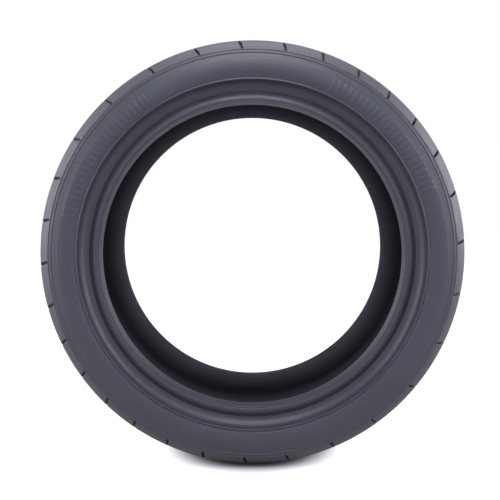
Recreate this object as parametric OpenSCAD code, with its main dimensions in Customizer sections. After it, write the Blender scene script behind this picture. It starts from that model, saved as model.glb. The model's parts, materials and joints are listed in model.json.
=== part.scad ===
// Low-profile car tyre for an 18 inch rim, standing upright on a small contact patch.
// The origin is the wheel centre, the spin axis is Y, and the outer sidewall faces -Y.
// Its section is drawn as points [side distance, radius], mirrored, and turned about the axis.

/* [Main size] */
// Outside diameter over the tread, unloaded
outer_d = 653.2; // [644:0.1:662]
// Width over both sidewalls where the tyre is widest
section_w = 248; // [244:1:254]
// Clear opening between the bead toes, the nominal rim diameter
rim_d = 457.2; // [454:0.1:460]
// Distance between the two bead heels, the rim width that the tyre is moulded for
bead_w = 213; // [208:1:217]
// Length of the flat contact patch that the tyre stands on
patch_l = 60; // [50:1:70]

/* [Tread] */
// Radius of the crown across the tread
crown_r = 1400; // [1100:50:2000]
// Width of the crown before the shoulders turn down
crown_w = 190; // [184:1:194]
// Radius of the shoulder arc
shoulder_r = 30; // [27:0.5:32]
// Angle at which the shoulder arc meets the sidewall, from the radial direction
shoulder_end = 60; // [54:1:64]
// Depth of the main grooves
groove_depth = 7.5; // [5:0.1:8.5]
// Width of the two grooves beside the centre rib
inner_groove_w = 11; // [7:0.5:14]
// Width of the two grooves beside the shoulder ribs
outer_groove_w = 9; // [6:0.5:12]
// Side distance of the inner grooves from the centre plane
inner_groove_a = 22; // [19:0.5:25]
// Side distance of the outer grooves from the centre plane
outer_groove_a = 61; // [57:0.5:64]
// Height of the wear bars across the main grooves
wear_bar_h = 1.6; // [1:0.1:2]

/* [Shoulder slots] */
// Width of a shoulder slot
slot_w = 4; // [3:0.25:5]
// Depth of a shoulder slot
slot_depth = 6; // [4:0.25:7]
// Angle of a slot's outer leg, on the shoulder, away from the axial direction
slot_lean = 17; // [10:1:20]
// Angle of its inner leg, on the tread face
slot_sweep = 38; // [30:1:45]
// Side distance at which the two legs meet
slot_bend = 100; // [97:0.5:103]
// Side distance at which the inner leg starts, beside the outer groove
slot_start = 73; // [70:0.5:78]

/* [Rib notches] */
// Width of the notches in the ribs beside the centre rib
notch_w = 3; // [2:0.25:4]
// Depth of the notches
notch_depth = 5; // [3:0.25:6]
// Length of the notches across the rib
notch_l = 18; // [12:0.5:20]
// Angle of a notch away from the axial direction
notch_lean = 30; // [20:1:35]

/* [Sidewall] */
// Distance from the end of the shoulder arc down to the thin hem groove
hem_drop = 3.8; // [3.3:0.1:5]
// Height of the ridge that guards the rim edge, over the bead toe
guard_h = 35.5; // [34.3:0.1:36.8]
// Side distance of the guard ridge from the centre plane
guard_a = 119.3; // [118:0.1:120]
// Radius of the hollow that the rim flange seats in
flange_seat_r = 17.25; // [16:0.25:18]

/* [Wall] */
// Thickness at the crown, tread and belts together
crown_t = 14.6; // [13.5:0.1:17]
// Thickness of the sidewall where the tyre is widest
sidewall_t = 8; // [7:0.1:9.5]
// Width of the bead base from toe to heel
bead_base = 15; // [13:0.5:17]
// Length of the cylindrical land at the bead toe
toe_land = 3; // [2:0.25:4]

/* [Hidden] */

// Steps to a full turn
$fn = 180;
// Steps of one curve of the section, and of the flat crown
curve_steps = 6;
crown_steps = 4;
// How far a cutting tool stands clear of the surface
clear = 3;

// Sizes of the tread's five pitches in degrees, before they are scaled to a full turn
pitch_sizes = [10, 10.6, 11.9, 13.3, 14.4];
// Order of the pitches, anticlockwise from the first slot as seen from the outer side
pitch_order = [3, 2, 1, 0, 0, 1, 1, 2, 2, 3, 4, 3, 2, 2, 2, 2, 1, 1, 0, 0, 1, 1, 2, 2, 3, 3, 4, 4, 4, 4];
first_slot = 4.4;
wear_bar_angle = 2;
wear_bar_count = 6;
// How much narrower a main groove is at its floor, on each side
groove_draft = 0.8;

tread_r = outer_d / 2;
widest_a = section_w / 2;
// Height from the bead toe to the tread, and the one that the sidewall and bead are drawn for
section_h = (outer_d - rim_d) / 2;
drawn_h = 98;
patch_depth = tread_r - sqrt(pow(tread_r, 2) - pow(patch_l / 2, 2));

// Where the crown arc ends, the centre of the shoulder arc that follows, and the tip where that ends
crown_end = asin(crown_w / 2 / crown_r);
shoulder_centre = [0, tread_r - crown_r] + (crown_r - shoulder_r) * unit(crown_end);
shoulder_tip = shoulder_centre + shoulder_r * unit(shoulder_end);
// Middle of the shoulder band, where the slot angles are taken
slot_anchor = shoulder_tip[0] - 9;
// Angle of the shoulder arc where a slot bends, and what each leg runs on past the bend to close its corner
bend_t = asin((slot_bend - shoulder_centre[0]) / shoulder_r);
mitre = slot_w / 2 * tan((slot_sweep - slot_lean) / 2);

// Thin hem groove, and the thin hem rib under it where the curve of the sidewall starts
hem_groove_r = 0.8;
hem_rib_r = 1.1;
hem_pitch = 2.6;
hem_rib = [widest_a - 3.4, shoulder_tip[1] - hem_drop - hem_pitch];
hem_groove = hem_rib + (shoulder_tip - hem_rib) * hem_pitch / (hem_drop + hem_pitch);
// Where a slot comes out, just short of the hem groove
slot_end = shoulder_tip + (hem_groove - shoulder_tip) * 0.45;

// Guard ridge, and the foot of the sidewall on it
guard_r = rim_d / 2 + tall(guard_h);
guard_ridge = [guard_a, guard_r];
guard_round = 1.9;
sidewall_foot = guard_ridge + [0.6, 1.6];
sidewall_h = hem_rib[1] - guard_r;
// Handles of the sidewall's curve, which stand out past its widest place
sidewall_swell = 1.25;
sidewall_high = [widest_a + sidewall_swell, hem_rib[1] - 0.31 * sidewall_h];
sidewall_low = [widest_a + sidewall_swell, guard_r + 0.38 * sidewall_h];
// Hollow for the rim flange: its radius and centre, and its angles at the ridge and at the bulge under it
hollow_r = tall(flange_seat_r);
flange_centre = guard_ridge - [0.3, guard_round + hollow_r];
hollow_start = -5;
hollow_end = -84;

// Bead: the toe, the heel, and the flat face against the rim flange
toe = [bead_w / 2 - bead_base, rim_d / 2];
heel = [bead_w / 2, rim_d / 2 + tall(2.4)];
bead_face_a = heel[0] + 2.2;
bead_face_lo = toe[1] + tall(5.8);
bead_face_hi = toe[1] + tall(8.2);

// Inside wall beside the guard ridge, beside the widest place, and at the edge of the crown
wall_low = guard_ridge + [-8.3, tall(6.6)];
wall_mid = [widest_a - sidewall_t - 1, guard_r + tall(28.6)];
wall_top = [crown_w / 2 + 1, tread_r - crown_t - 2.5];
// Handle of the inside wall beside the ridge, turned as the outside is there
wall_low_handle = wall_low + [3.3, 0] + (sidewall_low - sidewall_foot) / 2;

// Total of the pitches before number i
function pitch_sum(i) = i == 0 ? 0 : pitch_sum(i - 1) + pitch_sizes[pitch_order[i - 1]];
full_turn = pitch_sum(len(pitch_order));
slot_angles = [for (i = [0:len(pitch_order) - 1]) first_slot + 360 * pitch_sum(i) / full_turn];
pitch_angles = [for (k = pitch_order) 360 * pitch_sizes[k] / full_turn];

// A height on the sidewall or bead, for a section as tall as this one
function tall(h) = h * section_h / drawn_h;
// A direction in the section plane, t degrees from the radial direction towards the side
function unit(t) = [sin(t), cos(t)];
// Points on an arc in the section plane, from angle t0 to t1
function arc(centre, r, t0, t1, n) = [for (i = [0:n]) centre + r * unit(t0 + (t1 - t0) * i / n)];
// Points on a cubic curve from p to s, with q and u as handles, without s itself
function curve(p, q, u, s, n) = [
    for (i = [0:n - 1])
        let (t = i / n)
        pow(1 - t, 3) * p + 3 * t * pow(1 - t, 2) * q + 3 * t * t * (1 - t) * u + pow(t, 3) * s
];
// Height of the tread face at side distance a
function crown_height(a) = tread_r - crown_r + sqrt(pow(crown_r, 2) - a * a);
// Section points with radius along x and side distance along y, as polygon() takes them
function turned(points) = [for (p = points) [p[1], p[0]]];

// Outer surface of one side, from the centre plane down to the flange seat
function outer_points() = concat(
    arc([0, tread_r - crown_r], crown_r, 0, crown_end, crown_steps),
    arc(shoulder_centre, shoulder_r, crown_end + 6, shoulder_end, curve_steps),
    curve(hem_rib, sidewall_high, sidewall_low, sidewall_foot, 2 * curve_steps),
    [sidewall_foot],
    arc(flange_centre, hollow_r, hollow_start, hollow_end, 2 * curve_steps)
);

// Bead, from the bulge under the flange seat past the fitting groove and the heel to the toe
function bead_points() = [
    [bead_face_a - 0.6, bead_face_hi + tall(1.2)],
    [bead_face_a, bead_face_hi],
    [bead_face_a, bead_face_lo],
    [bead_face_a - 0.7, bead_face_lo - tall(0.6)],
    [heel[0], heel[1] + tall(2.4)],
    [heel[0] + 1.3, heel[1] + tall(1.6)],
    [heel[0] + 1.3, heel[1] + tall(0.9)],
    [heel[0] + 0.9, heel[1] + tall(0.3)],
    heel,
    toe + [toe_land, 0],
    toe
];

// Inner surface of one side, from the toe back to the centre plane
function liner_points() = concat(
    curve(toe + [-1.6, 1.6], toe + [-3, tall(20)], wall_low - [13.5, tall(12.5)], wall_low, curve_steps),
    curve(wall_low, wall_low_handle, wall_mid + [1.6, -tall(7.6)], wall_mid, curve_steps),
    curve(wall_mid, wall_mid + [-1.7, tall(9)], wall_top + [11, -1.7], wall_top, curve_steps),
    [wall_top, [wall_top[0] / 2, tread_r - crown_t - 0.6], [0, tread_r - crown_t]]
);

// Section of one side
module side_section() {
    polygon(turned(concat(outer_points(), bead_points(), liner_points())));
}

// A thin round line on the sidewall, to be added or cut away
module line_section(place, size) {
    translate([place[1], place[0]]) circle(r = size, $fn = 24);
}

// One main groove across the tread
module groove_section(a, w) {
    floor_r = crown_height(a) - groove_depth;
    top_r = tread_r + clear;
    translate([0, a])
        polygon([
            [floor_r, groove_draft - w / 2],
            [top_r, -w / 2],
            [top_r, w / 2],
            [floor_r, w / 2 - groove_draft]
        ]);
}

// The whole section, with the main grooves and the sidewall's lines
module tyre_section() {
    difference() {
        for (side = [0, 1]) mirror([0, side]) {
            side_section();
            line_section(guard_ridge, guard_round);
            line_section(hem_rib - [0.4, 0], hem_rib_r);
        }
        for (side = [0, 1]) mirror([0, side]) {
            groove_section(inner_groove_a, inner_groove_w);
            groove_section(outer_groove_a, outer_groove_w);
            line_section(hem_groove, hem_groove_r);
        }
    }
}

// One leg of a slot, standing on the section plane
module slot_leg(points) {
    rotate([90, 0, 0])
        linear_extrude(height = slot_w, center = true)
            polygon(turned(points));
}

// The outer leg, round the shoulder to a blunt end beside the hem groove
module shoulder_leg() {
    floor_line = arc(shoulder_centre, shoulder_r - slot_depth, bend_t, shoulder_end, curve_steps);
    slot_leg(concat(
        [[slot_bend - mitre, floor_line[0][1]]],
        floor_line,
        [slot_end, slot_end + [clear, 0], [slot_end[0] + clear, tread_r + clear]],
        [[slot_bend - mitre, tread_r + clear]]
    ));
}

// The inner leg, drawn out to its length along the sweep
module tread_leg() {
    start = slot_bend - (slot_bend - slot_start) / cos(slot_sweep);
    middle = slot_bend - (slot_bend - crown_w / 2) / cos(slot_sweep);
    end = slot_bend + mitre;
    slot_leg([
        [start, crown_height(slot_start) - slot_depth],
        [middle, crown_height(crown_w / 2) - slot_depth],
        [end, shoulder_centre[1] + (shoulder_r - slot_depth) * cos(bend_t)],
        [end, tread_r + clear],
        [start, tread_r + clear]
    ]);
}

// One whole slot; turn is 1 or -1 for the way in which it leans
module slot_cutter(turn) {
    translate([0, 0, slot_anchor])
        rotate([turn * slot_lean, 0, 0])
            translate([0, 0, -slot_anchor])
                shoulder_leg();
    translate([0, turn * tan(slot_lean) * (slot_anchor - slot_bend), slot_bend])
        rotate([turn * slot_sweep, 0, 0])
            translate([0, 0, -slot_bend])
                tread_leg();
}

// One slot for each pitch, all round one shoulder, set on by a share of the pitch
module shoulder_slots(share, turn) {
    for (i = [0:len(slot_angles) - 1])
        rotate([0, 0, slot_angles[i] + share * pitch_angles[i]])
            slot_cutter(turn);
}

// One notch for each pitch, in the rib between two grooves, open to the outer groove
module rib_notches(share, turn) {
    mouth_a = outer_groove_a - outer_groove_w / 2 + 1;
    floor_r = crown_height(mouth_a) - notch_depth;
    for (i = [0:len(slot_angles) - 1])
        rotate([0, 0, slot_angles[i] + share * pitch_angles[i]])
            translate([floor_r, 0, mouth_a])
                rotate([turn * notch_lean, 0, 0])
                    translate([0, -notch_w / 2, -notch_l])
                        cube([notch_depth + clear, notch_w, notch_l]);
}

// One wear bar in the groove at side distance a
module wear_bar(i, a, w) {
    root = 1;
    floor_r = crown_height(a) - groove_depth;
    rotate([0, 0, 360 * (i + 0.55) / wear_bar_count])
        rotate_extrude(angle = wear_bar_angle)
            translate([floor_r - root, a - w / 2])
                square([wear_bar_h + root, w]);
}

// Bars that show the wear limit, low across every main groove
module wear_bars() {
    for (i = [0:wear_bar_count - 1], side = [-1, 1]) {
        wear_bar(i, side * inner_groove_a, inner_groove_w);
        wear_bar(i, side * outer_groove_a, outer_groove_w);
    }
}

// The ring with all its slots, its axis along Z and its outer side up
module tyre_ring() {
    difference() {
        union() {
            rotate_extrude() tyre_section();
            wear_bars();
        }
        shoulder_slots(0, 1);
        rib_notches(0.45, 1);
        mirror([0, 0, 1]) shoulder_slots(0.5, -1);
        mirror([0, 0, 1]) rib_notches(0.05, -1);
    }
}

// The moulded tyre: one solid, hollow towards the rim, with the contact patch at its foot
module tyre() {
    color([0.17, 0.17, 0.19])
        difference() {
            rotate([90, 0, 0]) tyre_ring();
            translate([-patch_l, -section_w, patch_depth - tread_r - 2 * clear])
                cube([2 * patch_l, 2 * section_w, 2 * clear]);
        }
}

tyre();
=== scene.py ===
"""A low-profile car tyre that stands on a pale floor, in soft studio light."""
import json
import math

import bpy
import numpy as np
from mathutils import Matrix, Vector


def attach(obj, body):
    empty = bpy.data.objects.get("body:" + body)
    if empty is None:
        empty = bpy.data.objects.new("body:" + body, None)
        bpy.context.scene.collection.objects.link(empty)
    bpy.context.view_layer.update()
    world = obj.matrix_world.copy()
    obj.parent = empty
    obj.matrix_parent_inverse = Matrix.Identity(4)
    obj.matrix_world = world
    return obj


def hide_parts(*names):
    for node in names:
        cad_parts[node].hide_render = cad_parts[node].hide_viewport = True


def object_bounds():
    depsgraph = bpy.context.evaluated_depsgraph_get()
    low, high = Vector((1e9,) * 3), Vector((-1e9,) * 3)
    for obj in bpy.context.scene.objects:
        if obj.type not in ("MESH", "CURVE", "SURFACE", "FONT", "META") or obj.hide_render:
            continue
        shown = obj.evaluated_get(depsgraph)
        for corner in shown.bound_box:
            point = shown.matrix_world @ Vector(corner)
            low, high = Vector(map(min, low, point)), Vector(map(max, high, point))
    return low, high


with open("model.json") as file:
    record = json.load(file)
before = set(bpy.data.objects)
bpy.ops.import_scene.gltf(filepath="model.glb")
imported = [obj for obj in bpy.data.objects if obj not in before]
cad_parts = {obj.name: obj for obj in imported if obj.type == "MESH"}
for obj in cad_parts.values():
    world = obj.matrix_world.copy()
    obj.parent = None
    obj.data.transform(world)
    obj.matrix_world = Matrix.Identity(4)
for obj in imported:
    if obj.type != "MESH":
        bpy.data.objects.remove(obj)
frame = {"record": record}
cad_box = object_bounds()

# Lengths of the tyre are in millimetres and angles in degrees, as in the part's source. A section point is
# (side distance a, radius r), and a is above 0 on the outer side, which faces -Y.
MM = 0.001

# From the frame: the widest place of the side, the floor's height, and the bead's flat face and bore
MOUNTS = {mount["name"]: mount for mount in frame["record"]["mounts"]}
WIDEST_A = round(cad_box[1][1] / MM, 3)
PATCH_Z = MOUNTS["contact_patch"]["pos_m"][2] / MM
FACE_A = MOUNTS["inner_bead_face"]["pos_m"][1] / MM
BORE = MOUNTS["rim_bore"]["dims"]

# Toe of the bead, with the length of its land, and heel of the bead
TOE_LAND = 3.0
TOE = np.array([BORE["length_mm"] / 2 - TOE_LAND, BORE["r_mm"]])
HEEL = np.array([FACE_A - 2.2, 231.0])

# Tread: its greatest radius and thickness, the arc of its crown, and the arc of the shoulder that follows
TREAD_R = 326.6
CROWN_T = 14.6
CROWN_R = 1400.0
CROWN_END_A = 95.0
SHOULDER_R = 30.0
SHOULDER_END = 60.0

# Main grooves, each as side distance and width, and the bars in them that show the wear limit
GROOVES = ((22.0, 11.0), (61.0, 9.0))
GROOVE_DEPTH = 7.5
WEAR_BARS = 6
WEAR_BAR_H = 1.6
WEAR_BAR_ANGLE = 2.0
WEAR_BAR_START = 0.55

# Shoulder slots, whose two legs meet at a bend, and notches that open into the outer groove
SLOT_W = 4.0
SLOT_DEPTH = 6.0
SLOT_LEAN = 17.0
SLOT_SWEEP = 38.0
SLOT_START_A = 73.0
SLOT_BEND_A = 100.0
NOTCH_W = 3.0
NOTCH_DEPTH = 5.0
NOTCH_L = 18.0
NOTCH_LEAN = 30.0
MOUTH_A = 57.5

# Side distances inside every notch, ahead of every slot, and beyond the sidewall
NOTCH_IN_A = 41.0
SLOT_AHEAD_A = SLOT_START_A - 3
BEYOND_A = 130.0

# Pitches of the pattern round the tyre: their sizes as shares of the turn, their order, and the first slot's
# angle
PITCH_SIZES = (10, 10.6, 11.9, 13.3, 14.4)
PITCH_ORDER = (3, 2, 1, 0, 0, 1, 1, 2, 2, 3, 4, 3, 2, 2, 2, 2, 1, 1, 0, 0, 1, 1, 2, 2, 3, 3, 4, 4, 4, 4)
FIRST_SLOT = 4.4

# Share of a pitch by which slots and notches are set on round the tyre, in the order of side distances
PITCH_SHARES = {"inner_slot": 0.5, "inner_notch": 0.05, "outer_notch": 0.45, "outer_slot": 0.0}

# How cuts are rounded: where the lip starts outside the edge, how deep the lip is at the edge, and how far
# inside the edge the corner and the flat of the floor start
LIP = 0.4
LIP_DEPTH = 0.35
CORNER = 0.2
FLAT = 0.8

# From the edge of a main groove inwards: distance and depth. From the edge of a slot: distance and share of
# the full depth.
GROOVE_WALL = (
    (-LIP, 0),
    (0, LIP_DEPTH),
    (0.7, GROOVE_DEPTH - 1),
    (1.1, GROOVE_DEPTH - 0.2),
    (1.9, GROOVE_DEPTH),
)
SLOT_WALL = ((-LIP, 0), (0, 0.06), (CORNER, 0.9), (FLAT, 1))

# Rows of points on the crown besides those that the cuts need, and columns between two slots
PLAIN_ROWS = (0, 8, 22, 30, 36, 47, 52, 61, 68, 78, 84, 90)
RIB_COLUMNS = 12

# Hem under the shoulder: a fine groove and a fine rib
HEM_GROOVE_R = 1.2
HEM_GROOVE_LIFT = 1.3
HEM_GROOVE_TURN = 26.0
HEM_RIB_R = 1.2
HEM_PITCH = 2.6
HEM_DROP = 4.2

# Lip of the hem groove, past the slots' ends: steps up along the slope and out from it, and a slot's depth
HEM_LIP = ((0.4, 0.55, 0.4), (0, 0.7, 0), (-0.6, 0.7, 0), (-1.0, 0.3, 0))

# Guard ridge beside the rim's flange, and the hollow for the flange under it
GUARD = np.array([119.3, 264.1])
GUARD_ROUND = 1.9
RIDGE = GUARD + [0.6, -0.6]
RIDGE_ROUND = 1.3
FLANGE_SEAT_R = 17.25
FLANGE_CENTRE = GUARD - [0.3, GUARD_ROUND + FLANGE_SEAT_R]

# Steps along the bead: down its face from heights over the toe, round the heel, and along and past the toe
BEAD_FACE = ((-2.6, 14.4), (-1.0, 11.6), (-0.25, 9.4), (0, 8.0), (0, 6.2), (-0.5, 5.2))
BEAD_HEEL = ((0.8, 2.4), (1.3, 1.6), (1.3, 0.9), (0.9, 0.3), (0, 0))
BEAD_TOE = ((TOE_LAND, 0), (1.2, 0.25), (-0.3, 1.0), (-1.6, 2.2))

# Space that the points of the side leave to the arcs they meet
JOIN_GAP = 0.2

# Columns of points round the outer side, which is seen from close by, and round the rest
OUTER_COLUMNS = 640
PLAIN_COLUMNS = 360
SHARP_ANGLE = 32.0

# Relief on the outer side: its height, its band of radii, and its arcs, from +X towards +Z. Each arc is a row
# of fine radial ribs, of which a full turn would hold RELIEF_RIBS. The arcs' ends fade over radians.
RELIEF_H = 0.6
RELIEF_BAND = (271.0, 289.0)
RELIEF_BAND_FADE = 0.8
RELIEF_ARCS = ((20, 66), (124, 168), (-112, -94))
RELIEF_ARC_FADE = 0.008
RELIEF_RIBS = 190.0
RELIEF_SWING = 0.35
RELIEF_MEAN = 0.5

# Two thin lines beside the band: how far off, how wide, how soft, and their share of the relief's height
RELIEF_LINE_GAP = 2.5
RELIEF_LINE_W = 0.3
RELIEF_LINE_FADE = 0.5
RELIEF_LINE_SHARE = 0.3

# Patterns in the rubber, in repeats to a metre: clouds and specks in its colour, rings from the mould's
# turning, and the grain of its skin. The rings drift a little as they go round.
CLOUD_SCALE = 14.0
SPECK_SCALE = 160.0
RING_SCALE = 420.0
RING_DRIFT = 0.02
GRAIN_SCALE = 900.0

# Studio, in metres and watts: the floor's half width, the edge of the painted shadow round the tyre's foot,
# inside which the floor's glow fades out, the share of the glow that lights the tyre, and the light from all
# round at the sides and above
LIGHT_COLOUR = (1.0, 1.0, 1.08)
FLOOR_REACH = 6.0
FLOOR_GREY = 0.3
# Distances from the foot over which the floor's glow rises from nothing to full, which paints a soft shadow
# round the foot
FLOOR_PAINTED_SHADOW_EDGE = (0.1, 0.16)
FLOOR_BOUNCE = 0.42
AMBIENT_SIDES = 1.2
AMBIENT_ABOVE = 0.15
AMBIENT_RISE = 0.7

# Soft boxes: place, size and power
LAMPS = {
    "key": ((0, -1.0, 1.0), 0.4, 1.8),
    "top_front": ((0, -0.7, 0.9), 0.6, 5.5),
    "top": ((0, -0.1, 1.0), 0.8, 7.6),
    "left": ((-1.0, -0.2, 0.35), 0.8, 8.4),
    "left_low": ((-1.0, -0.3, 0.0), 0.6, 2.0),
    "right": ((1.0, -0.2, 0.35), 0.8, 12.8),
}

# Camera: place in metres, degrees down from level and to the left, and sensor width and focal length
CAMERA_PLACE = (0, -1.1857, 0.0925)
CAMERA_DOWN = 4.362
CAMERA_TURN = 0.182
CAMERA_SENSOR = 36
CAMERA_LENS = 51.55


def unit(t):
    """Direction t degrees from the radial direction towards the side."""
    t = np.radians(t)
    return np.stack([np.sin(t), np.cos(t)], -1)


def arc(centre, radius, t0, t1, count):
    """Section points on an arc from angle t0 to t1."""
    return centre + radius * unit(np.linspace(t0, t1, count))


def curve(p, q, u, s, count):
    """Section points on a cubic curve from p to s, with handles q and u."""
    t = np.linspace(0, 1, count)[:, None]
    return (1 - t) ** 3 * p + 3 * t * (1 - t) ** 2 * q + 3 * t * t * (1 - t) * u + t**3 * s


def softened(points, times=2):
    """The same line with each corner cut twice, so that it turns gently."""
    for _ in range(times):
        ahead = points[1:]
        behind = points[:-1]
        cut = np.stack([0.8 * behind + 0.2 * ahead, 0.2 * behind + 0.8 * ahead], 1).reshape(-1, 2)
        points = np.concatenate([points[:1], cut[1:-1], points[-1:]])
    return points


def crown_height(a):
    """Radius of the tread face at side distance a."""
    return TREAD_R - CROWN_R + np.sqrt(CROWN_R**2 - a * a)


# Where the crown ends, the centre and tip of the shoulder's arc, and where the slots' angles are taken
CROWN_END = math.degrees(math.asin(CROWN_END_A / CROWN_R))
SHOULDER_CENTRE = np.array([0, TREAD_R - CROWN_R]) + (CROWN_R - SHOULDER_R) * unit(CROWN_END)
SHOULDER_TIP = SHOULDER_CENTRE + SHOULDER_R * unit(SHOULDER_END)
SLOT_ANCHOR = SHOULDER_TIP[0] - 9

# The hem's slope from the tip to the rib, the way out from it, its groove, and where the slots come out
HEM_RIB = np.array([WIDEST_A - 3.4, SHOULDER_TIP[1] - HEM_DROP - HEM_PITCH])
HEM_RIB_CENTRE = HEM_RIB - [0.2, 0]
HEM_SLOPE = (HEM_RIB - SHOULDER_TIP) / np.linalg.norm(HEM_RIB - SHOULDER_TIP)
HEM_GROOVE = HEM_RIB + (SHOULDER_TIP - HEM_RIB) * HEM_PITCH / (HEM_DROP + HEM_PITCH)
HEM_UP = math.degrees(math.atan2(-HEM_SLOPE[0], -HEM_SLOPE[1]))
HEM_OUT = unit(HEM_UP + 90)
HEM_GROOVE_CENTRE = HEM_GROOVE + HEM_GROOVE_LIFT * HEM_OUT
HEM_GROOVE_FLOOR = HEM_UP - 90
SLOT_END = SHOULDER_TIP + (HEM_GROOVE - SHOULDER_TIP) * 0.45

# The sidewall's foot on the guard ridge, and the handles of its curve
SIDE_H = HEM_RIB[1] - GUARD[1]
SIDE_FOOT = GUARD + [0.6, 1.6]
SIDE_HIGH = np.array([WIDEST_A - 0.3, HEM_RIB[1] - 0.31 * SIDE_H])
SIDE_LOW = np.array([WIDEST_A + 2.5, GUARD[1] + 0.36 * SIDE_H])

# Inside wall beside the guard ridge, beside the widest place, and at the edge of the crown
WALL_LOW = GUARD + [-8.3, 6.6]
WALL_MID = np.array([WIDEST_A - 9, GUARD[1] + 28.6])
WALL_TOP = np.array([CROWN_END_A + 1, TREAD_R - CROWN_T - 2.5])


def groove_breaks():
    """Side distances and depths at which the walls and floors of the main grooves bend."""
    breaks = []
    for a, width in GROOVES:
        breaks += [(a - width / 2 + step, depth) for step, depth in GROOVE_WALL]
        breaks += [(a + width / 2 - step, depth) for step, depth in reversed(GROOVE_WALL)]
    return np.array(breaks)


def cut_start(a, depth, corner):
    """Side distances and depths where a slot or notch starts at a, with its floor's corner rounded."""
    return [(a - LIP, 0), (a, LIP_DEPTH), (a + CORNER, depth - corner), (a + FLAT, depth)]


def slot_breaks():
    """Side distances and depths at which the floors of notches and shoulder slots bend, on the crown."""
    notch_end = MOUTH_A - NOTCH_L * math.cos(math.radians(NOTCH_LEAN))
    notch = cut_start(notch_end, NOTCH_DEPTH, 0.6) + [(MOUTH_A, NOTCH_DEPTH), (MOUTH_A + 0.1, 0)]
    slot = cut_start(SLOT_START_A, SLOT_DEPTH, 0.8) + [(CROWN_END_A, SLOT_DEPTH)]
    return np.array(notch + slot)


def tread_rows(points, outward, groove_depth, slot_depth):
    """One row for each section point, with its outward direction and the depths of groove and slot there."""
    depths = [np.broadcast_to(depth, len(points)) for depth in (groove_depth, slot_depth)]
    return np.column_stack([points, np.broadcast_to(outward, points.shape), *depths])


def half_tread():
    """Rows from the centre plane over the crown, the shoulder and the hem's lip into the hem groove."""
    grooves, slots = groove_breaks(), slot_breaks()
    a = np.unique(np.concatenate([PLAIN_ROWS, grooves[:, 0], slots[:, 0]]))
    crown = np.column_stack([a, crown_height(a)])
    turn = np.linspace(CROWN_END, SHOULDER_END, 18)[1:]
    shoulder = SHOULDER_CENTRE + SHOULDER_R * unit(turn)
    up, out, lip_slot = np.array(HEM_LIP).T
    lip = SLOT_END - np.outer(up, HEM_SLOPE) + np.outer(out, HEM_OUT)
    groove_start = HEM_GROOVE_FLOOR + HEM_GROOVE_TURN
    groove = arc(HEM_GROOVE_CENTRE, HEM_GROOVE_R, groove_start, HEM_GROOVE_FLOOR, count=4)
    return np.concatenate([
        tread_rows(crown, unit(0), np.interp(a, *grooves.T), np.interp(a, *slots.T)),
        tread_rows(shoulder, unit(turn), 0, SLOT_DEPTH),
        tread_rows(lip, HEM_OUT, 0, lip_slot),
        tread_rows(groove, HEM_OUT, 0, 0),
    ])


def slot_lines(a):
    """Angle of the middle of each pitch's slots and notches at each side distance."""
    sizes = np.array(PITCH_SIZES)[list(PITCH_ORDER)]
    pitches = 360 * sizes / sizes.sum()
    starts = FIRST_SLOT + np.concatenate([[0], np.cumsum(pitches)[:-1]])
    lean, sweep, notch = np.tan(np.radians([SLOT_LEAN, SLOT_SWEEP, NOTCH_LEAN]))
    bend = lean * (SLOT_ANCHOR - SLOT_BEND_A)
    knots = np.array([NOTCH_IN_A, MOUTH_A, SLOT_AHEAD_A, SLOT_BEND_A, BEYOND_A])
    shift = np.array([
        notch * (MOUTH_A - NOTCH_IN_A),
        0,
        bend + sweep * (SLOT_BEND_A - SLOT_AHEAD_A),
        bend,
        lean * (SLOT_ANCHOR - BEYOND_A),
    ])
    shift = np.degrees(np.concatenate([-shift[::-1], shift]) / TREAD_R)
    knots = np.concatenate([-knots[::-1], knots])
    # On each side, three knots lie along the slots and two along the notches
    share = np.repeat(list(PITCH_SHARES.values()), (3, 2, 2, 3))
    lines = [np.interp(a, knots, start + share * pitch + shift) for start, pitch in zip(starts, pitches)]
    return np.array(lines)


def half_widths(a):
    """Half the width of the slot or notch at each side distance, as it is measured round the tyre."""
    leans = np.radians([NOTCH_LEAN, SLOT_SWEEP, SLOT_LEAN])
    notch, tread_leg, shoulder_leg = np.array([NOTCH_W, SLOT_W, SLOT_W]) / 2 / np.cos(leans)
    knots = [MOUTH_A, SLOT_AHEAD_A, SLOT_BEND_A - 2, SLOT_BEND_A + 2]
    return np.interp(np.abs(a), knots, [notch, tread_leg, tread_leg, shoulder_leg])


def tread_columns(a, r):
    """Angles of the columns of points at each row, and the share of a slot's depth that each column takes.

    Each slot has columns down its two walls, and each rib between two slots has columns of its own.
    """
    walls = [(-1, step, share) for step, share in SLOT_WALL]
    walls += [(1, -step, share) for step, share in reversed(SLOT_WALL)]
    half_width = half_widths(a)
    lines = slot_lines(a)
    following = np.roll(lines, -1, axis=0)
    following[-1] += 360
    columns, shares = [], []
    for line, after in zip(lines, following):
        for side, step, share in walls:
            columns.append(line + np.degrees((side * half_width + step) / r))
            shares.append(share)
        first = columns[-1]
        last = after - np.degrees((half_width + LIP) / r)
        for k in range(1, RIB_COLUMNS + 1):
            columns.append(first + (last - first) * k / (RIB_COLUMNS + 1))
            shares.append(0)
    return np.array(columns).T, np.array(shares)


def wear_bar_heights(angle):
    """Height of the wear bars over the floor of a main groove at each angle."""
    along_bar = (angle * WEAR_BARS / 360 - WEAR_BAR_START) % 1 * 360 / WEAR_BARS
    return np.where(along_bar < WEAR_BAR_ANGLE, WEAR_BAR_H, 0)


def tread_grid():
    """Side distance, radius and angle of every point of the tread, from the outer hem groove to the inner."""
    half = half_tread()
    mirrored = half[1:] * [-1, 1, -1, 1, 1, 1]
    rows = np.concatenate([half[::-1], mirrored])
    a, r = rows[:, 0], rows[:, 1]
    angle, shares = tread_columns(a, r)
    groove = np.minimum(rows[:, 4:5], GROOVE_DEPTH - wear_bar_heights(angle))
    depth = np.maximum(groove, rows[:, 5:6] * shares)
    return a[:, None] - depth * rows[:, 2:3], r[:, None] - depth * rows[:, 3:4], angle


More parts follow.
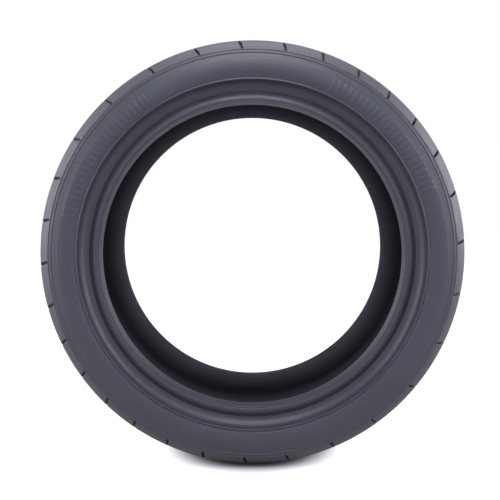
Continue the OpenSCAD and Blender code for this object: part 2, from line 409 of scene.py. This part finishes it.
def side_line():
    """Section points of the sidewall's curve that lie clear of the hem rib and the guard ridge."""
    side = curve(HEM_RIB, SIDE_HIGH, SIDE_LOW, SIDE_FOOT, count=48)
    past_rib = np.linalg.norm(side - HEM_RIB_CENTRE, axis=1) > HEM_RIB_R + JOIN_GAP
    above_ridge = np.linalg.norm(side - RIDGE, axis=1) > RIDGE_ROUND + JOIN_GAP
    return side[past_rib & above_ridge]


def bead_line(top):
    """Section points of the bead, from the end of the flange's hollow down to the toe."""
    face = np.array([FACE_A, TOE[1]]) + BEAD_FACE
    return softened(np.concatenate([[top], face, HEEL + BEAD_HEEL, TOE + BEAD_TOE]))


def wall_line():
    """Section points of the outer side, from the bottom of the hem groove down to the bead toe."""
    groove_end = HEM_GROOVE_FLOOR - HEM_GROOVE_TURN
    groove = arc(HEM_GROOVE_CENTRE, HEM_GROOVE_R, HEM_GROOVE_FLOOR, groove_end, count=4)
    rib = arc(HEM_RIB_CENTRE, HEM_RIB_R, 0, 139, count=9)
    ridge = arc(RIDGE, RIDGE_ROUND, 40, 184, count=12)
    hollow = arc(FLANGE_CENTRE, FLANGE_SEAT_R, -6, -79, count=22)
    return np.concatenate([groove, rib, side_line(), ridge, hollow, bead_line(hollow[-1])[1:]])


def liner_line():
    """Section points of the inside, from the outer toe through the crown to the inner toe."""
    foot = curve(TOE + BEAD_TOE[-1], TOE + [-3, 20], WALL_LOW - [13.5, 12.5], WALL_LOW, count=14)
    side = curve(WALL_LOW, WALL_LOW + [6, 6.4], WALL_MID + [1.6, -7.6], WALL_MID, count=12)
    shoulder = curve(WALL_MID, WALL_MID + [-1.7, 9], WALL_TOP + [11, -1.7], WALL_TOP, count=12)
    crown = [(WALL_TOP[0] / 2, TREAD_R - CROWN_T - 0.6), (0, TREAD_R - CROWN_T)]
    half = np.concatenate([foot[:-1], side[:-1], shoulder, crown])
    return np.concatenate([half, half[-2::-1] * [-1, 1]])


def ring_piece(name, a, r, angle, material):
    """A surface all round the axis, with one row of points for each section point, flat at the foot."""
    a, r, angle = np.broadcast_arrays(a, r, np.radians(angle))
    height = np.maximum(r * np.sin(angle), PATCH_Z)
    points = np.stack([r * np.cos(angle), -a, height], -1) * MM
    index = np.arange(a.size).reshape(a.shape)
    right = np.roll(index, -1, axis=1)
    quads = np.stack([index[:-1], index[1:], right[1:], right[:-1]], -1)
    mesh = bpy.data.meshes.new(name)
    mesh.from_pydata(points.reshape(-1, 3).tolist(), [], quads.reshape(-1, 4).tolist())
    mesh.materials.append(material)
    mesh.polygons.foreach_set("use_smooth", np.ones(len(mesh.polygons), bool))
    mesh.set_sharp_from_angle(angle=math.radians(SHARP_ANGLE))
    piece = bpy.data.objects.new(name, mesh)
    bpy.context.scene.collection.objects.link(piece)
    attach(piece, "root")
    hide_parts("tyre")
    return piece


def turned_piece(name, line, columns, material):
    """A ring with the same section all round."""
    angle = np.arange(columns) * 360 / columns
    return ring_piece(name, line[:, :1], line[:, 1:], angle, material)


class Nodes:
    """A node tree, with a short way to add and link nodes."""

    def __init__(self, tree):
        self.tree = tree

    def node(self, kind, inputs=None, **settings):
        """A new node with its settings, and its inputs as values or as outputs of other nodes."""
        made = self.tree.nodes.new(kind)
        for name, value in settings.items():
            setattr(made, name, value)
        for name, value in (inputs or {}).items():
            if isinstance(value, bpy.types.NodeSocket):
                self.tree.links.new(value, made.inputs[name])
            else:
                made.inputs[name].default_value = value
        return made

    def math(self, operation, a, b=0.0, c=0.0):
        """The result of an operation on up to three values."""
        return self.node("ShaderNodeMath", {0: a, 1: b, 2: c}, operation=operation).outputs[0]

    def ranged(self, value, start, end, low=0.0, high=1.0, kind="LINEAR"):
        """A value that goes from low to high while another goes from start to end."""
        inputs = {"Value": value, "From Min": start, "From Max": end, "To Min": low, "To Max": high}
        return self.node("ShaderNodeMapRange", inputs, interpolation_type=kind).outputs[0]

    def window(self, value, low, high, edge):
        """1 where a value lies between low and high, fading to 0 over an edge outside them."""
        rise = self.ranged(value, low - edge, low, kind="SMOOTHSTEP")
        fall = self.ranged(value, high, high + edge, 1.0, 0.0, kind="SMOOTHSTEP")
        return self.math("MULTIPLY", rise, fall)

    def camera_ray(self):
        """1 for what is seen straight from the camera, and 0 for what only lights other surfaces."""
        return self.node("ShaderNodeLightPath").outputs["Is Camera Ray"]


class Shader(Nodes):
    """A material and its node tree, with the patterns that its surface is made of."""

    def __init__(self, name):
        self.material = bpy.data.materials.new(name)
        self.material.use_nodes = True
        super().__init__(self.material.node_tree)
        self.surface = self.tree.nodes["Principled BSDF"]

    def noise(self, place, scale, detail=4.0):
        """Noise around a half, with so many repeats to a metre."""
        inputs = {"Vector": place, "Scale": scale, "Detail": detail}
        return self.node("ShaderNodeTexNoise", inputs).outputs["Fac"]

    def spread(self, noise, low, high):
        """Noise drawn out to a range."""
        return self.ranged(noise, 0.3, 0.7, low, high)

    def place(self):
        """Place on the piece, in metres."""
        return self.node("ShaderNodeTexCoord").outputs["Object"]

    def polar(self, place):
        """A place as radius, turn and side distance, in metres and radians."""
        x, y, z = self.node("ShaderNodeSeparateXYZ", {0: place}).outputs
        flat = self.node("ShaderNodeCombineXYZ", {0: x, 1: z}).outputs[0]
        radius = self.node("ShaderNodeVectorMath", {0: flat}, operation="LENGTH").outputs["Value"]
        return radius, self.math("ARCTAN2", z, x), y

    def bump(self, height, distance, after=None):
        """A normal tilted by a height, which a distance in metres scales, after another bump if any."""
        inputs = {"Height": height, "Distance": distance}
        if after:
            inputs["Normal"] = after
        return self.node("ShaderNodeBump", inputs).outputs[0]

    def finish(self, colour, roughness, normal):
        """Links the three patterns to the surface and gives the material."""
        for name, value in (("Base Color", colour), ("Roughness", roughness), ("Normal", normal)):
            self.tree.links.new(value, self.surface.inputs[name])
        return self.material


def clouded_colour(shader, place, dark, light):
    """Colour that goes between dark and light in soft clouds, with fine specks in them."""
    clouds = shader.math("MULTIPLY", shader.noise(place, CLOUD_SCALE), 0.6)
    specks = shader.math("MULTIPLY", shader.noise(place, SPECK_SCALE, 6.0), 0.4)
    share = shader.spread(shader.math("ADD", clouds, specks), 0.0, 1.0)
    mixed = shader.node("ShaderNodeMix", {"Factor": share, "A": dark, "B": light}, data_type="RGBA")
    return mixed.outputs["Result"]


def mould_rings(shader, radius, turn, side):
    """Rings round the tyre, as noise over the section that hardly changes on the way round."""
    across = {0: radius, 1: side, 2: shader.math("MULTIPLY", turn, RING_DRIFT)}
    place = shader.node("ShaderNodeCombineXYZ", across).outputs[0]
    return shader.noise(place, RING_SCALE, 3.0)


def ribbed_arcs(shader, radius, turn):
    """Height of the relief, from 0 to 1: arcs of fine radial ribs, and thin lines above and below them."""
    low, high = RELIEF_BAND
    covered = 0.0
    for first, last in RELIEF_ARCS:
        one_arc = shader.window(turn, math.radians(first), math.radians(last), RELIEF_ARC_FADE)
        covered = shader.math("ADD", covered, one_arc)
    band = shader.window(radius, low * MM, high * MM, RELIEF_BAND_FADE * MM)
    covered = shader.math("MULTIPLY", covered, band)
    wave = shader.math("SINE", shader.math("MULTIPLY", turn, RELIEF_RIBS))
    ribs = shader.math("MULTIPLY_ADD", wave, RELIEF_SWING, RELIEF_MEAN)
    relief = shader.math("MULTIPLY", covered, ribs)
    for line in (low - RELIEF_LINE_GAP, high + RELIEF_LINE_GAP):
        edges = (line - RELIEF_LINE_W / 2) * MM, (line + RELIEF_LINE_W / 2) * MM
        thin = shader.window(radius, *edges, RELIEF_LINE_FADE * MM)
        relief = shader.math("MULTIPLY_ADD", thin, RELIEF_LINE_SHARE, relief)
    return relief


def rubber(name, dark, light, rough, rings, grain, relief=0.0):
    """Moulded rubber: a fine skin grain, faint rings from the mould, and slightly cloudy colour and gloss.

    dark and light are the ends of its colour, rough the ends of its roughness, rings the height of the
    mould's turning marks and grain the height of the skin's grain. relief is the height of the ribbed arcs.
    All heights are in metres.
    """
    shader = Shader(name)
    place = shader.place()
    radius, turn, side = shader.polar(place)
    ring = mould_rings(shader, radius, turn, side)
    normal = shader.bump(ring, rings)
    normal = shader.bump(shader.noise(place, GRAIN_SCALE, 3.0), grain, after=normal)
    if relief:
        normal = shader.bump(ribbed_arcs(shader, radius, turn), relief, after=normal)
    return shader.finish(clouded_colour(shader, place, dark, light), shader.spread(ring, *rough), normal)


def side_rubber(name, relief=0.0):
    """Smooth satin rubber of the sidewalls and beads."""
    return rubber(
        name,
        dark=(0.028, 0.030, 0.041, 1),
        light=(0.037, 0.039, 0.053, 1),
        rough=(0.38, 0.50),
        rings=0.00012,
        grain=0.00006,
        relief=relief,
    )


def tread_rubber():
    """Duller and slightly paler rubber of the tread."""
    return rubber(
        "tread_rubber",
        dark=(0.036, 0.036, 0.044, 1),
        light=(0.047, 0.047, 0.056, 1),
        rough=(0.50, 0.66),
        rings=0.00006,
        grain=0.00012,
    )


def liner_rubber():
    """Paler rubber of the inner liner."""
    return rubber(
        "liner_rubber",
        dark=(0.060, 0.062, 0.073, 1),
        light=(0.078, 0.081, 0.095, 1),
        rough=(0.42, 0.56),
        rings=0.00010,
        grain=0.00010,
    )


def floor_paint():
    """Matt pale paint that glows white away from the tyre's foot, with a painted shadow round the foot where
    the glow fades, and lights the tyre with a share of its glow.
    """
    shader = Shader("floor_paint")
    from_foot = shader.node("ShaderNodeVectorMath", {0: shader.place()}, operation="LENGTH")
    # The glow fades to nothing near the tyre's foot, which paints a soft shadow on the floor there
    past_painted_shadow = shader.ranged(from_foot.outputs["Value"], *FLOOR_PAINTED_SHADOW_EDGE, kind="SMOOTHSTEP")
    share = shader.ranged(shader.camera_ray(), 0.0, 1.0, FLOOR_BOUNCE, 1.0)
    inputs = shader.surface.inputs
    shader.tree.links.new(shader.math("MULTIPLY", past_painted_shadow, share), inputs["Emission Strength"])
    inputs["Emission Color"].default_value = (*LIGHT_COLOUR, 1)
    inputs["Base Color"].default_value = (FLOOR_GREY, FLOOR_GREY, FLOOR_GREY, 1)
    inputs["Roughness"].default_value = 1
    inputs["Specular IOR Level"].default_value = 0
    return shader.material


def pale_floor():
    """A square floor under the tyre, with its own origin at the tyre's foot."""
    mesh = bpy.data.meshes.new("floor")
    corners = [(x * FLOOR_REACH, y * FLOOR_REACH, 0) for x, y in ((-1, -1), (1, -1), (1, 1), (-1, 1))]
    mesh.from_pydata(corners, [], [(0, 1, 2, 3)])
    mesh.materials.append(floor_paint())
    floor = bpy.data.objects.new("floor", mesh)
    floor.location.z = PATCH_Z * MM
    bpy.context.scene.collection.objects.link(floor)


def studio_world():
    """Light from all round, strong from the sides and weak from above, before a white backdrop."""
    world = bpy.data.worlds.new("studio")
    world.use_nodes = True
    nodes = Nodes(world.node_tree)
    direction = nodes.node("ShaderNodeTexCoord").outputs["Generated"]
    rise = nodes.node("ShaderNodeSeparateXYZ", {0: direction}).outputs["Z"]
    ambient = nodes.ranged(rise, 0.0, AMBIENT_RISE, AMBIENT_SIDES, AMBIENT_ABOVE, kind="SMOOTHSTEP")
    strength = nodes.ranged(nodes.camera_ray(), 0.0, 1.0, ambient, 1.0)
    backdrop = world.node_tree.nodes["Background"].inputs
    nodes.tree.links.new(strength, backdrop["Strength"])
    backdrop["Color"].default_value = (*LIGHT_COLOUR, 1)
    bpy.context.scene.world = world


def soft_light(name, place, size, power):
    """A square soft box that faces the tyre's centre."""
    data = bpy.data.lights.new(name, "AREA")
    data.size = size
    data.energy = power
    data.color = LIGHT_COLOUR
    lamp = bpy.data.objects.new(name, data)
    lamp.location = place
    lamp.rotation_euler = Vector(place).to_track_quat("Z", "Y").to_euler()
    bpy.context.scene.collection.objects.link(lamp)


def front_camera():
    """A view from a little above the axle, straight in front of the outer side."""
    data = bpy.data.cameras.new("camera")
    data.sensor_width = CAMERA_SENSOR
    data.lens = CAMERA_LENS
    camera = bpy.data.objects.new("camera", data)
    camera.location = CAMERA_PLACE
    camera.rotation_euler = (math.radians(90 - CAMERA_DOWN), 0, math.radians(CAMERA_TURN))
    bpy.context.scene.collection.objects.link(camera)
    bpy.context.scene.camera = camera


ring_piece("tread", *tread_grid(), tread_rubber())
outer = wall_line()
turned_piece("outer_side", outer[::-1], OUTER_COLUMNS, side_rubber("outer_rubber", RELIEF_H * MM))
turned_piece("inner_side", outer * [-1, 1], PLAIN_COLUMNS, side_rubber("inner_rubber"))
turned_piece("inner_liner", liner_line()[::-1], PLAIN_COLUMNS, liner_rubber())

pale_floor()
studio_world()
for lamp_name, (lamp_place, lamp_size, lamp_power) in LAMPS.items():
    soft_light(lamp_name, lamp_place, lamp_size, lamp_power)
front_camera()
bpy.context.scene.view_settings.view_transform = "Standard"
